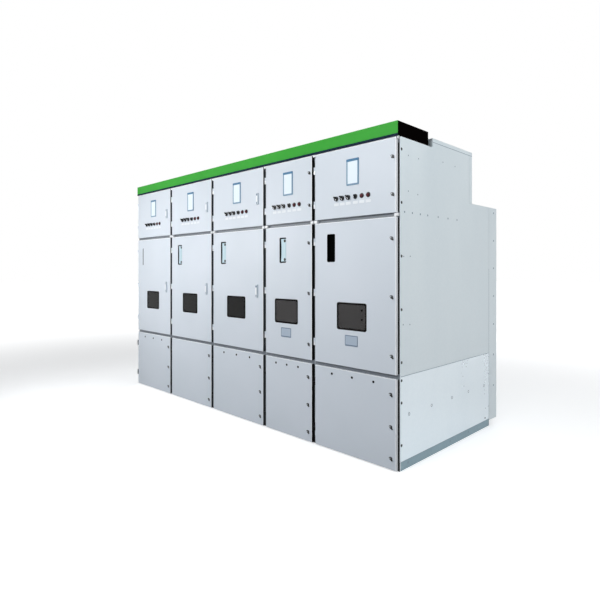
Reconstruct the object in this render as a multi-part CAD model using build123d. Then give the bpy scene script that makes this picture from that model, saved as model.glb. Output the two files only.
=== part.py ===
from build123d import *
import os

# Five metal-enclosed switchgear cubicles side by side, in millimetres. +Z is up and the doors face -Y.
# The origin is on the floor under the middle of the row. Depths run back from the door fronts.

# Row
cubicle_count = 5
narrow_cubicle = 4
cubicle_width = 800
narrow_width = 600
depth = 1600
sheet = 2
seam = 2

# Levels of the housing
base_height = 60
deck_level = 650
breaker_bay_height = 1140
instrument_bay_height = 520
rear_roof_drop = 360
chamber_rise = 35
chamber_cap_height = 35
rear_box_clearance = 45

# Depths of the housing
side_panel_front = 38
chamber_front = 465
chamber_rear = 1110
corner_strip = 42
rear_box_depth = 160

# Base channels
base_flange = 40
base_thickness = 4

# Box for the control wires over the front roof
wire_box_depth = 400
wire_box_height = 103

# Front frame
post_face = 40
post_leg = 40
frame_sheet = 2.5
rail_face = 40

# Doors
door_thickness = 20
door_clearance = 5
door_bend_radius = 2.5
door_lip = 12
door_latch_inset = 13
door_hinge_inset = 24
door_top_gap = 6
door_bottom_gap = 6
door_gap = 28

# Lift-off hinges
knuckle_radius = 7
knuckle_length = 28
knuckle_gap = 0.3
pin_radius = 4
pin_length = 20
pin_clearance = 0.1
hinge_offset = 9
hinge_depth = 3
hinge_leaf = 3
instrument_hinge_from_top = 126
instrument_hinge_from_bottom = 122
breaker_hinge_from_top = 144
breaker_hinge_from_bottom = 155
cable_hinge_from_end = 135

# Windows in the breaker doors
window_width = 270
window_height = 193
window_radius = 22
window_above_door_bottom = 281
pane_margin = 15
pane_thickness = 5
window_place = 394
narrow_window_place = 302

# Displays on the instrument doors
display_width = 116
display_height = 196
display_proud = 5
display_radius = 4
display_body_margin = 9
display_body_depth = 70
display_fit = 1
display_below_door_top = 90
screen_margin = 12
screen_recess = 1.5
display_place = 380
narrow_display_place = 277

# Three selectors, a small selector and two lamps under each display
device_above_door_bottom = 147
device_body_radius = 11
device_hole_clearance = 0.3
device_body_depth = 45
bezel_radius = 14.5
bezel_proud = 4
knob_radius = 11.5
knob_proud = 20
knob_height = 10
knob_grip = 7
knob_grip_margin = 1
small_knob_radius = 8
lamp_radius = 11
lamp_proud = 9
lamp_edge = 3.5
first_device_place = 539
narrow_first_device_place = 445
selector_pitch = 58
small_selector_pitch = 68
lamp_pitch = 59

# Operating handles in their dished recesses
recess_width = 84
recess_height = 216
recess_radius = 12
recess_depth = 30
recess_lip = 8
recess_wall = 1.5
recess_above_door_bottom = 786
recess_place = 595
narrow_recess_place = 343
lever_width = 62
lever_waist = 46
lever_thickness = 8
lever_margin = 10
lever_foot_radius = 8
lever_foot_inset = 16
lever_gap = 0.3
recess_cubicles = [2, 3, 4, 5]
lever_cubicles = [2, 3, 4]

# Rod latches on the first three cubicles
latch_cubicles = [1, 2, 3]
latch_width = 26
latch_proud = 14
latch_radius = 6
latch_edge = 2
instrument_latch_height = 104
instrument_latch_place = 71
instrument_latch_above_door_bottom = 194
breaker_latch_height = 118
breaker_latch_place = 81
breaker_latch_above_door_bottom = 477

# Places along the row and in depth that follow from the sizes above
cubicle_numbers = list(range(1, cubicle_count + 1))
cubicle_widths = [narrow_width if number == narrow_cubicle else cubicle_width for number in cubicle_numbers]
half_length = sum(cubicle_widths) / 2
cubicle_edges = [sum(cubicle_widths[:count]) - half_length for count in range(cubicle_count + 1)]
front_reach = bezel_proud + knob_proud
door_front = (front_reach - depth) / 2
frame_front = door_thickness + door_clearance
post_front = frame_front + frame_sheet
frame_back = frame_front + post_leg
corner_front = chamber_rear - corner_strip
rear_box_front = depth - rear_box_depth

# Levels that follow from the sizes above
shelf_level = deck_level + breaker_bay_height
body_height = shelf_level + instrument_bay_height
rear_roof_height = body_height - rear_roof_drop
chamber_wall_height = body_height + chamber_rise
chamber_height = chamber_wall_height + chamber_cap_height
wire_box_top = body_height + wire_box_height
upper_gap_level = shelf_level - rail_face / 2
instrument_levels = (upper_gap_level + door_gap / 2, body_height - door_top_gap)
breaker_levels = (deck_level + door_gap / 2, upper_gap_level - door_gap / 2)
cable_levels = (door_bottom_gap, deck_level - door_gap / 2)
instrument_hinges = [
    instrument_levels[0] + instrument_hinge_from_bottom,
    instrument_levels[1] - instrument_hinge_from_top,
]
breaker_hinges = [
    breaker_levels[0] + breaker_hinge_from_bottom,
    sum(breaker_levels) / 2,
    breaker_levels[1] - breaker_hinge_from_top,
]
cable_hinges = [cable_levels[0] + cable_hinge_from_end, cable_levels[1] - cable_hinge_from_end]
device_level = instrument_levels[0] + device_above_door_bottom


def block(x_span, depth_span, z_span):
    """A plain block between two positions along the row, two depths and two heights."""
    size = [high - low for low, high in (x_span, depth_span, z_span)]
    centre = [(low + high) / 2 for low, high in (x_span, depth_span, z_span)]
    return Pos(centre[0], door_front + centre[1], centre[2]) * Box(*size)


def around(centre, size):
    """The span of this size about a centre."""
    return centre - size / 2, centre + size / 2


def rounded_block(x_centre, z_centre, width, height, radius, depth_span):
    """A block with rounded corners in the front view."""
    outline = Plane.XZ * RectangleRounded(width, height, radius)
    low, high = depth_span
    # The XZ plane faces -Y, so a negative extrusion runs towards the back.
    solid = extrude(outline, amount=-(high - low))
    return Pos(x_centre, door_front + low, z_centre) * solid


def rod(x, z, radius, depth_span):
    """A round rod along the depth."""
    low, high = depth_span
    place = Pos(x, door_front + (low + high) / 2, z)
    return place * Rot(90, 0, 0) * Cylinder(radius, high - low)


def front_edges(solid):
    return solid.faces().sort_by(Axis.Y)[0].edges()


def cubicle_span(number):
    return cubicle_edges[number - 1], cubicle_edges[number]


def door_span(number):
    left, right = cubicle_span(number)
    return left + door_hinge_inset, right - door_latch_inset


def from_latch_edge(number, place, narrow_place):
    """Position along the row of what lies this far left of a door's latch edge."""
    return door_span(number)[1] - (narrow_place if number == narrow_cubicle else place)


def wall_faces(number):
    """Inner faces of the walls on each side of a cubicle."""
    left, right = cubicle_span(number)
    left_wall = sheet if number == 1 else sheet / 2
    right_wall = sheet if number == cubicle_count else sheet / 2
    return left + left_wall, right - right_wall


def end_sheet(side, depth_span, z_span):
    """A flat sheet in the plane of one end of the row."""
    x_span = sorted((side * half_length, side * (half_length - sheet)))
    return block(x_span, depth_span, z_span)


def base_web(depth_span):
    """The upright web of a base channel along the row, from end to end."""
    return block((-half_length, half_length), depth_span, (0, base_height))


def base_flanges(depth_span):
    """The level flanges of a base channel along the row, between the end channels."""
    x_span = (base_flange - half_length, half_length - base_flange)
    lower = block(x_span, depth_span, (0, base_thickness))
    return lower + block(x_span, depth_span, (base_height - base_thickness, base_height))


def front_base_channel():
    """The front base channel, with returns that close its ends as far as the side panels."""
    web_back = frame_front + base_thickness
    channel = base_web((frame_front, web_back)) + base_flanges((web_back, frame_front + base_flange))
    for side in (-1, 1):
        x_span = sorted((side * half_length, side * (half_length - base_thickness)))
        channel += block(x_span, (web_back, side_panel_front), (0, base_height))
    return channel


def rear_base_channel():
    web_front = rear_box_front - base_thickness
    return base_web((web_front, rear_box_front)) + base_flanges((rear_box_front - base_flange, web_front))


def base_side_channel(side):
    """The base channel across one end of the row, with its web outward."""
    outer = side * half_length
    x_span = sorted((outer, outer - side * base_flange))
    x_hollow = sorted((outer - side * base_thickness, outer - side * base_flange))
    depths = (side_panel_front, rear_box_front - base_thickness)
    solid = block(x_span, depths, (0, base_height))
    return solid - block(x_hollow, depths, (base_thickness, base_height - base_thickness))


def base_cross_bars():
    """A flat bar under each inner wall, between the front and rear channels."""
    depths = (frame_front + base_flange, rear_box_front - base_flange)
    return [block(around(x, base_flange), depths, (0, base_height)) for x in cubicle_edges[1:-1]]


def front_post(x_outer, inward):
    """An angle-section post behind the rails' faces, from the base to the roof."""
    x_face = sorted((x_outer, x_outer + inward * post_face))
    x_leg = sorted((x_outer, x_outer + inward * frame_sheet))
    heights = (base_height, body_height - sheet)
    face = block(x_face, (post_front, post_front + frame_sheet), heights)
    return face + block(x_leg, (post_front, frame_back), heights)


def front_posts():
    posts = []
    for number in cubicle_numbers:
        left, right = wall_faces(number)
        posts.append(front_post(left, 1))
        posts.append(front_post(right, -1))
    return posts


def front_rail(number, ledge_level, face_levels):
    """An angle-section rail across two posts, with a ledge between them under what it carries."""
    left, right = wall_faces(number)
    rail = block((left, right), (frame_front, post_front), face_levels)
    ledge_span = (left + post_face, right - post_face)
    rail += block(ledge_span, (post_front, frame_back), (ledge_level - frame_sheet, ledge_level))
    if number == 1:
        rail += end_sheet(-1, (frame_front, side_panel_front), face_levels)
    if number == cubicle_count:
        rail += end_sheet(1, (frame_front, side_panel_front), face_levels)
    return rail


def front_rails():
    roof_underside = body_height - sheet
    rails = []
    for number in cubicle_numbers:
        rails.append(front_rail(number, shelf_level, (shelf_level - rail_face, shelf_level)))
        rails.append(front_rail(number, deck_level, around(deck_level, rail_face)))
        rails.append(front_rail(number, roof_underside, (roof_underside - rail_face, roof_underside)))
    return rails


def inner_wall(x):
    """The sheet between two cubicles, as far back as the step in the roof."""
    x_span = around(x, sheet)
    low = block(x_span, (frame_front, chamber_rear - sheet), (base_height, body_height - sheet))
    raised_heights = (body_height - sheet, chamber_wall_height)
    return low + block(x_span, (chamber_front, chamber_rear - sheet), raised_heights)


def rear_inner_wall(x):
    """The same wall behind the step, into the rear box that ends above the floor."""
    x_span = around(x, sheet)
    roof_underside = rear_roof_height - sheet
    front = block(x_span, (chamber_rear, rear_box_front), (base_height, roof_underside))
    box_heights = (rear_box_clearance + sheet, roof_underside)
    return front + block(x_span, (rear_box_front, depth - sheet), box_heights)


def upper_side_panel(side):
    """One stepped sheet that closes an end of the row above the deck."""
    bottom = deck_level + seam / 2
    chamber_end = corner_front - seam
    front = end_sheet(side, (side_panel_front, chamber_front), (bottom, body_height))
    middle = end_sheet(side, (chamber_front, chamber_end), (bottom, chamber_wall_height))
    rear = end_sheet(side, (chamber_end, rear_box_front - seam), (bottom, rear_roof_height - sheet))
    return front + middle + rear


def lower_side_panel(side):
    return end_sheet(side, (side_panel_front, rear_box_front - seam), (base_height, deck_level - seam / 2))


def rear_end_strips(side):
    """The end of the rear box, and the folded corner behind the raised chamber's side."""
    box_end = end_sheet(side, (rear_box_front, depth - sheet), (rear_box_clearance, rear_roof_height - sheet))
    chamber_corner = end_sheet(side, (corner_front, chamber_rear), (rear_roof_height, chamber_wall_height))
    return [box_end, chamber_corner]


def cubicle_sheets(depth_span, z_span):
    """One upright or level sheet in each cubicle, between its walls."""
    return [block(wall_faces(number), depth_span, z_span) for number in cubicle_numbers]


def rear_covers(z_span):
    """Bolted rear covers, one for each cubicle, over the edges of the walls."""
    covers = []
    for number in cubicle_numbers:
        left, right = cubicle_span(number)
        covers.append(block((left + seam / 2, right - seam / 2), (depth - sheet, depth), z_span))
    return covers


def front_roof():
    x_span = (sheet - half_length, half_length - sheet)
    return block(x_span, (frame_front, chamber_front - sheet), (body_height - sheet, body_height))


def rear_roof():
    heights = (rear_roof_height - sheet, rear_roof_height)
    return block((-half_length, half_length), (chamber_rear, depth), heights)


def rear_box_floor():
    x_span = (sheet - half_length, half_length - sheet)
    heights = (rear_box_clearance, rear_box_clearance + sheet)
    return block(x_span, (rear_box_front, depth - sheet), heights)


def bus_chamber_cap():
    """A lid with turned-down edges over the raised bus chamber."""
    x_outside = (-half_length, half_length)
    x_inside = (sheet - half_length, half_length - sheet)
    outside_depths = (chamber_front - sheet, chamber_rear)
    inside_depths = (chamber_front, chamber_rear - sheet)
    outside = block(x_outside, outside_depths, (chamber_wall_height, chamber_height))
    return outside - block(x_inside, inside_depths, (chamber_wall_height, chamber_height - sheet))


def fascia():
    """The coloured front of the wire box, with a return along its lower edge."""
    x_span = (-half_length, half_length)
    face = block(x_span, (0, sheet), (body_height, wire_box_top))
    return face + block(x_span, (sheet, frame_front), (body_height, body_height + sheet))


def small_bus_box():
    """The low box for the control wires behind the fascia, open underneath."""
    x_outside = (-half_length, half_length)
    x_inside = (sheet - half_length, half_length - sheet)
    outside = block(x_outside, (sheet, wire_box_depth), (body_height, wire_box_top))
    inside = block(x_inside, (sheet, wire_box_depth - sheet), (body_height, wire_box_top - sheet))
    return outside - inside - block(x_outside, (sheet, frame_front), (body_height, body_height + sheet))


def hinge_axis(number):
    """Position along the row and depth of a cubicle's hinge pins."""
    return door_span(number)[0] - hinge_offset, hinge_depth


def upright_rod(x, axis_depth, radius, z_span):
    low, high = z_span
    return Pos(x, door_front + axis_depth, (low + high) / 2) * Cylinder(radius, high - low)


def frame_hinge(number, level):
    """The fixed half of a hinge: lower knuckle, pin, and a leaf back to the post."""
    x, axis_depth = hinge_axis(number)
    heights = (level - knuckle_length, level - knuckle_gap / 2)
    knuckle = upright_rod(x, axis_depth, knuckle_radius, heights)
    pin = upright_rod(x, axis_depth, pin_radius, (level - knuckle_length, level + pin_length))
    return knuckle + pin + block(around(x, hinge_leaf), (axis_depth, post_front), heights)


def frame_hinges():
    levels = instrument_hinges + breaker_hinges + cable_hinges
    return [frame_hinge(number, level) for number in cubicle_numbers for level in levels]


def add_door_knuckles(pan, number, levels):
    """Adds the upper knuckles, whose bores drop over the frame's pins."""
    x, axis_depth = hinge_axis(number)
    leaf_span = (x, door_span(number)[0] + sheet / 2)
    for level in levels:
        heights = (level + knuckle_gap / 2, level + knuckle_length)
        pan += upright_rod(x, axis_depth, knuckle_radius, heights)
        pan += block(leaf_span, around(axis_depth, hinge_leaf), heights)
        bore_heights = (level, level + pin_length + pin_clearance)
        pan -= upright_rod(x, axis_depth, pin_radius + pin_clearance, bore_heights)
    return pan


def door_pan(number, levels):
    """A sheet door with its four edges folded back and then inwards as a lip."""
    left, right = door_span(number)
    low, high = levels
    pan = block((left, right), (0, door_thickness), levels)
    pan = fillet(front_edges(pan), door_bend_radius)
    cavity_depths = (sheet, door_thickness - sheet)
    pan -= block((left + sheet, right - sheet), cavity_depths, (low + sheet, high - sheet))
    mouth_depths = (door_thickness - sheet, door_thickness)
    return pan - block((left + door_lip, right - door_lip), mouth_depths, (low + door_lip, high - door_lip))


def display_centre(number):
    x = from_latch_edge(number, display_place, narrow_display_place)
    return x, instrument_levels[1] - display_below_door_top - display_height / 2


def device_places(number):
    """Positions along the row of the three selectors, the small selector and the two lamps."""
    first = from_latch_edge(number, first_device_place, narrow_first_device_place)
    selectors = [first + count * selector_pitch for count in range(3)]
    small_selector = selectors[-1] + small_selector_pitch
    return selectors + [small_selector, small_selector + lamp_pitch, small_selector + 2 * lamp_pitch]


def instrument_door(number):
    pan = door_pan(number, instrument_levels)
    x, z = display_centre(number)
    cut_width = display_width - 2 * display_body_margin + 2 * display_fit
    cut_height = display_height - 2 * display_body_margin + 2 * display_fit
    pan -= block(around(x, cut_width), (0, sheet), around(z, cut_height))
    for device_x in device_places(number):
        pan -= rod(device_x, device_level, device_body_radius + device_hole_clearance, (0, sheet))
    return add_door_knuckles(pan, number, instrument_hinges)


def window_centre(number):
    x = from_latch_edge(number, window_place, narrow_window_place)
    return x, breaker_levels[0] + window_above_door_bottom + window_height / 2


def recess_centre(number):
    x = from_latch_edge(number, recess_place, narrow_recess_place)
    return x, breaker_levels[0] + recess_above_door_bottom + recess_height / 2


def breaker_door(number):
    pan = door_pan(number, breaker_levels)
    x, z = window_centre(number)
    pan -= rounded_block(x, z, window_width, window_height, window_radius, (0, sheet))
    if number in recess_cubicles:
        x, z = recess_centre(number)
        pan -= rounded_block(x, z, recess_width, recess_height, recess_radius, (0, sheet))
    return add_door_knuckles(pan, number, breaker_hinges)


def cable_door(number):
    return add_door_knuckles(door_pan(number, cable_levels), number, cable_hinges)


def window_pane(number):
    """Glass behind the window opening, against the back of the door sheet."""
    x, z = window_centre(number)
    width = window_width + 2 * pane_margin
    height = window_height + 2 * pane_margin
    return rounded_block(x, z, width, height, window_radius, (sheet, sheet + pane_thickness))


def display(number):
    """A display unit: bezel on the door front, screen recess, and body through the door."""
    x, z = display_centre(number)
    bezel = rounded_block(x, z, display_width, display_height, display_radius, (-display_proud, 0))
    body_width = display_width - 2 * display_body_margin
    body_length = display_height - 2 * display_body_margin
    body = block(around(x, body_width), (0, display_body_depth), around(z, body_length))
    screen_width = display_width - 2 * screen_margin
    screen_height = display_height - 2 * screen_margin
    screen_depths = (-display_proud, screen_recess - display_proud)
    return bezel + body - block(around(x, screen_width), screen_depths, around(z, screen_height))


def device_base(x):
    """The bezel and the body that every selector and lamp has."""
    bezel = rod(x, device_level, bezel_radius, (-bezel_proud, 0))
    return bezel + rod(x, device_level, device_body_radius, (0, device_body_depth))


def selector(x, cap_radius):
    """A rotary selector with a round cap and a raised grip across it."""
    cap_front = -bezel_proud - knob_height
    cap = rod(x, device_level, cap_radius, (cap_front, -bezel_proud))
    grip_heights = around(device_level, 2 * (cap_radius - knob_grip_margin))
    return device_base(x) + cap + block(around(x, knob_grip), (-front_reach, cap_front), grip_heights)


def lamp(x):
    """A pilot lamp, whose lens has a bevelled front edge."""
    lens = rod(x, device_level, lamp_radius, (-bezel_proud - lamp_proud, -bezel_proud))
    return device_base(x) + chamfer(front_edges(lens), lamp_edge)


def control_row(number):
    places = device_places(number)
    selectors = [selector(x, knob_radius) for x in places[:3]]
    lamps = [lamp(x) for x in places[4:]]
    return selectors + [selector(places[3], small_knob_radius)] + lamps


def handle_recess(number):
    """A dished tray behind the slot in a breaker door, open to the front."""
    x, z = recess_centre(number)

    def layer(margin, depth_span):
        width = recess_width + 2 * margin
        return rounded_block(x, z, width, recess_height + 2 * margin, recess_radius + margin, depth_span)

    lip = layer(recess_lip, (sheet, sheet + recess_wall))
    tray = layer(recess_wall, (sheet, recess_depth))
    return lip + tray - layer(0, (sheet, recess_depth - recess_wall))


def lever(number):
    """A waisted lever that lies in its recess, on two feet."""
    x, z = recess_centre(number)
    half_height = recess_height / 2 - lever_margin
    half_width = lever_width / 2
    half_waist = lever_waist / 2
    right_side = ThreePointArc((half_width, half_height), (half_waist, 0), (half_width, -half_height))
    bottom_side = Line((half_width, -half_height), (-half_width, -half_height))
    left_side = ThreePointArc((-half_width, -half_height), (-half_waist, 0), (-half_width, half_height))
    top_side = Line((-half_width, half_height), (half_width, half_height))
    outline = Plane.XZ * make_face(Curve() + [right_side, bottom_side, left_side, top_side])
    grip = Pos(x, door_front + sheet, z) * extrude(outline, amount=-lever_thickness)
    foot_depths = (sheet + lever_thickness, recess_depth - recess_wall - lever_gap)
    for direction in (-1, 1):
        foot_z = z + direction * (half_height - lever_foot_inset)
        grip += rod(x, foot_z, lever_foot_radius, foot_depths)
    return grip


def rod_latch(number, place, bottom, height):
    """A rod latch with a bevelled front edge, on the latch side of a door."""
    x = from_latch_edge(number, place, place)
    body = rounded_block(x, bottom + height / 2, latch_width, height, latch_radius, (-latch_proud, 0))
    return chamfer(front_edges(body), latch_edge)


def instrument_latch(number):
    bottom = instrument_levels[0] + instrument_latch_above_door_bottom
    return rod_latch(number, instrument_latch_place, bottom, instrument_latch_height)


def breaker_latch(number):
    bottom = breaker_levels[0] + breaker_latch_above_door_bottom
    return rod_latch(number, breaker_latch_place, bottom, breaker_latch_height)


def both_ends(make_piece):
    return [make_piece(side) for side in (-1, 1)]


def save(name, solids):
    solids = solids if isinstance(solids, list) else [solids]
    shape = solids[0] if len(solids) == 1 else Compound(children=solids)
    export_step(shape, f"parts/{name}.step")


os.makedirs("parts", exist_ok=True)

save("base_long_channels", [front_base_channel(), rear_base_channel()])
save("base_side_channels", both_ends(base_side_channel))
save("base_cross_bars", base_cross_bars())
save("front_posts", front_posts())
save("front_rails", front_rails())
inner_boundaries = cubicle_edges[1:-1]
save("inner_walls", [inner_wall(x) for x in inner_boundaries] + [rear_inner_wall(x) for x in inner_boundaries])
save("upper_side_panels", both_ends(upper_side_panel))
save("lower_side_panels", both_ends(lower_side_panel))
save("rear_end_strips", rear_end_strips(-1) + rear_end_strips(1))

floor_depths = (frame_back, chamber_rear - sheet)
shelves = cubicle_sheets(floor_depths, (shelf_level - sheet, shelf_level))
decks = cubicle_sheets(floor_depths, (deck_level - sheet, deck_level))
save("inner_floors", shelves + decks)
back_wall_depths = (chamber_front - sheet, chamber_front)
save("instrument_back_walls", cubicle_sheets(back_wall_depths, (shelf_level, chamber_wall_height)))
step_wall_depths = (chamber_rear - sheet, chamber_rear)
save("rear_step_walls", cubicle_sheets(step_wall_depths, (base_height, chamber_wall_height)))
upper_covers = rear_covers((deck_level + seam / 2, rear_roof_height - sheet))
lower_covers = rear_covers((rear_box_clearance, deck_level - seam / 2))
save("rear_covers", upper_covers + lower_covers)
save("roof_sheets", [front_roof(), rear_roof()])
save("rear_box_floor", rear_box_floor())
save("bus_chamber_cap", bus_chamber_cap())
save("fascia", fascia())
save("small_bus_box", small_bus_box())
save("frame_hinges", frame_hinges())

for number in cubicle_numbers:
    save(f"instrument_door_{number}", instrument_door(number))
    save(f"breaker_door_{number}", breaker_door(number))
    save(f"cable_door_{number}", cable_door(number))
    save(f"window_pane_{number}", window_pane(number))
    save(f"display_{number}", display(number))
    save(f"control_row_{number}", control_row(number))
    if number in lever_cubicles:
        save(f"operating_handle_{number}", [handle_recess(number), lever(number)])
    elif number in recess_cubicles:
        save(f"handle_recess_{number}", handle_recess(number))
    if number in latch_cubicles:
        save(f"instrument_latch_{number}", instrument_latch(number))
        save(f"breaker_latch_{number}", breaker_latch(number))
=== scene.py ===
import bpy
import bmesh
import math
from mathutils import Matrix, Vector


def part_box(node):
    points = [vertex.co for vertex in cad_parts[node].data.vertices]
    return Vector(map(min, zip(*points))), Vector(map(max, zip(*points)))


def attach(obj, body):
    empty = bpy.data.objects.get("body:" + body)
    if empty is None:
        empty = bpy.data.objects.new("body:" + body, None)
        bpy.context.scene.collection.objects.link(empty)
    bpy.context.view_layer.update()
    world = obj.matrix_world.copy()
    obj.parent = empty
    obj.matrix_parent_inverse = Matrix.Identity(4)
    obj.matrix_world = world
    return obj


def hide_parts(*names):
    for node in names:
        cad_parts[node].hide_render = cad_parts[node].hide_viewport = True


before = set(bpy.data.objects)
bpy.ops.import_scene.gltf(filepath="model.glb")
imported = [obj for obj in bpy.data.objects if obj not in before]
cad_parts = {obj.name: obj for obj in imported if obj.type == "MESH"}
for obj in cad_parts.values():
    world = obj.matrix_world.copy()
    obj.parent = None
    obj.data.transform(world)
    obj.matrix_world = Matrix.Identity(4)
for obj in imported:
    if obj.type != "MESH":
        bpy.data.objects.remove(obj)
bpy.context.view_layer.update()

# Sizes are in metres. Places on a door are measured from its latch edge, and up from its lower edge
# or down from its upper edge. Places on a side panel are measured back from the door fronts, and up
# from the floor.

CUBICLES = range(1, 6)
NARROW_CUBICLE = 4
ROW_LOW, ROW_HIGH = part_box("fascia")
DOOR_FRONT = ROW_LOW.y
HALF_LENGTH = ROW_HIGH.x
FASCIA_BOTTOM = ROW_LOW.z

# Camera of the photograph
PHOTO_WIDTH = 600
FOCAL_PIXELS = 484.586
CENTRE_PIXEL = (303.152, 271.097)
SENSOR_WIDTH = 36
CAMERA_RIGHT_OF_ROW = 1.8774
CAMERA_BEFORE_DOORS = 2.8055
CAMERA_HEIGHT = 1.3804
CAMERA_TURN = 44.828


def local_frame(position, facing):
    """A matrix whose X runs to the right on the faced side, Y up and Z out of the surface."""
    right, up, out = {
        "front": ((1, 0, 0), (0, 0, 1), (0, -1, 0)),
        "back": ((-1, 0, 0), (0, 0, 1), (0, 1, 0)),
        "right": ((0, 1, 0), (0, 0, 1), (1, 0, 0)),
        "left": ((0, -1, 0), (0, 0, 1), (-1, 0, 0)),
        "top": ((1, 0, 0), (0, 1, 0), (0, 0, 1)),
    }[facing]
    matrix = Matrix((right, up, out)).transposed().to_4x4()
    matrix.translation = position
    return matrix


# Shapes that are added to a mesh

def add_lathe(mesh, place, profile, segments=24, material=0):
    """Turns a profile of (radius, height) about the axis out of the surface."""
    rings = []
    for radius, height in profile:
        if radius == 0:
            rings.append([mesh.verts.new(place @ Vector((0, 0, height)))])
            continue
        ring = []
        for step in range(segments):
            angle = 2 * math.pi * step / segments
            point = Vector((radius * math.cos(angle), radius * math.sin(angle), height))
            ring.append(mesh.verts.new(place @ point))
        rings.append(ring)
    for low, high in zip(rings, rings[1:]):
        for step in range(segments):
            after = (step + 1) % segments
            corners = [
                low[step % len(low)], low[after % len(low)],
                high[after % len(high)], high[step % len(high)],
            ]
            face = mesh.faces.new(list(dict.fromkeys(corners)))
            face.material_index = material


def add_prism(mesh, place, outline, low, high, material=0):
    """Raises a closed outline between two heights above the surface."""
    bottom = [mesh.verts.new(place @ Vector((x, y, low))) for x, y in outline]
    top = [mesh.verts.new(place @ Vector((x, y, high))) for x, y in outline]
    faces = [mesh.faces.new(bottom[::-1]), mesh.faces.new(top)]
    for step in range(len(outline)):
        after = (step + 1) % len(outline)
        faces.append(mesh.faces.new((bottom[step], bottom[after], top[after], top[step])))
    for face in faces:
        face.material_index = material


def add_rim(mesh, place, stations, material=0):
    """Joins like outlines at several heights into a closed ring, the last back to the first."""
    rings = []
    for outline, height in stations:
        rings.append([mesh.verts.new(place @ Vector((x, y, height))) for x, y in outline])
    for low, high in zip(rings, rings[1:] + rings[:1]):
        for step in range(len(low)):
            after = (step + 1) % len(low)
            face = mesh.faces.new((low[step], low[after], high[after], high[step]))
            face.material_index = material


def rounded_outline(width, height, radius, steps=6):
    """A rectangle with round corners, anticlockwise about its centre."""
    points = []
    centres = [(1, 1, 0), (-1, 1, 90), (-1, -1, 180), (1, -1, 270)]
    for x_sign, y_sign, start in centres:
        for step in range(steps + 1):
            angle = math.radians(start + 90 * step / steps)
            x = x_sign * (width / 2 - radius) + radius * math.cos(angle)
            y = y_sign * (height / 2 - radius) + radius * math.sin(angle)
            points.append((x, y))
    return points


def rectangle(width, height):
    x, y = width / 2, height / 2
    return [(x, y), (-x, y), (-x, -y), (x, -y)]


def polygon(radius, corners, turn=0.0):
    angles = [turn + 2 * math.pi * step / corners for step in range(corners)]
    return [(radius * math.cos(angle), radius * math.sin(angle)) for angle in angles]


def make_piece(name, mesh, materials, body, bevel=0.0):
    """Turns a mesh into a piece that rides on a body."""
    bmesh.ops.recalc_face_normals(mesh, faces=mesh.faces)
    data = bpy.data.meshes.new(name)
    mesh.to_mesh(data)
    mesh.free()
    for material in materials:
        data.materials.append(material)
    data.shade_smooth()
    data.set_sharp_from_angle(angle=math.radians(35))
    piece = bpy.data.objects.new(name, data)
    bpy.context.scene.collection.objects.link(piece)
    if bevel:
        edges = piece.modifiers.new("edges", "BEVEL")
        edges.width = bevel
        edges.segments = 2
        edges.limit_method = "ANGLE"
        edges.angle_limit = math.radians(40)
    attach(piece, body)
    return piece


# Materials

def new_material(name, colour, roughness, metallic=0.0):
    material = bpy.data.materials.new(name)
    material.use_nodes = True
    shader = material.node_tree.nodes["Principled BSDF"]
    shader.inputs["Base Color"].default_value = (*colour, 1)
    shader.inputs["Roughness"].default_value = roughness
    shader.inputs["Metallic"].default_value = metallic
    return material


def add_node(material, kind, **values):
    node = material.node_tree.nodes.new(kind)
    for name, value in values.items():
        if name in node.inputs:
            node.inputs[name].default_value = value
        else:
            setattr(node, name, value)
    return node


def link(material, output, target):
    material.node_tree.links.new(output, target)


def shader_of(material):
    return material.node_tree.nodes["Principled BSDF"]


def object_noise(material, scale, detail=3.0, stretch=(1, 1, 1)):
    """Noise over the object's own coordinates, stretched along each axis."""
    coordinates = add_node(material, "ShaderNodeTexCoord")
    mapping = add_node(material, "ShaderNodeMapping")
    mapping.inputs["Scale"].default_value = stretch
    noise = add_node(material, "ShaderNodeTexNoise", Scale=scale, Detail=detail)
    link(material, coordinates.outputs["Object"], mapping.inputs["Vector"])
    link(material, mapping.outputs["Vector"], noise.inputs["Vector"])
    return noise.outputs["Fac"]


def vary_roughness(material, source, low, high):
    spread = add_node(material, "ShaderNodeMapRange")
    spread.inputs["From Min"].default_value = 0.3
    spread.inputs["From Max"].default_value = 0.7
    spread.inputs["To Min"].default_value = low
    spread.inputs["To Max"].default_value = high
    link(material, source, spread.inputs["Value"])
    link(material, spread.outputs["Result"], shader_of(material).inputs["Roughness"])


def vary_colour(material, source, low, high):
    """Lets the colour run between two tones as the source goes from low to high."""
    ramp = add_node(material, "ShaderNodeValToRGB")
    ramp.color_ramp.elements[0].position = 0.3
    ramp.color_ramp.elements[0].color = (*low, 1)
    ramp.color_ramp.elements[1].position = 0.7
    ramp.color_ramp.elements[1].color = (*high, 1)
    link(material, source, ramp.inputs["Fac"])
    link(material, ramp.outputs["Color"], shader_of(material).inputs["Base Color"])


def add_bump(material, source, strength, distance, under=None):
    bump = add_node(material, "ShaderNodeBump")
    bump.inputs["Strength"].default_value = strength
    bump.inputs["Distance"].default_value = distance
    link(material, source, bump.inputs["Height"])
    if under:
        link(material, under.outputs["Normal"], bump.inputs["Normal"])
    link(material, bump.outputs["Normal"], shader_of(material).inputs["Normal"])
    return bump


def powder_coat(name, low, high, roughness=(0.34, 0.44)):
    """Baked powder paint: fine orange peel over sheet that isn't quite flat."""
    material = new_material(name, high, roughness[0])
    vary_colour(material, object_noise(material, 1.3, 2.0), low, high)
    vary_roughness(material, object_noise(material, 9.0, 4.0), *roughness)
    waves = add_bump(material, object_noise(material, 1.6, 1.0), 0.25, 0.004)
    add_bump(material, object_noise(material, 900.0, 2.0), 0.12, 0.0002, waves)
    return material


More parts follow.
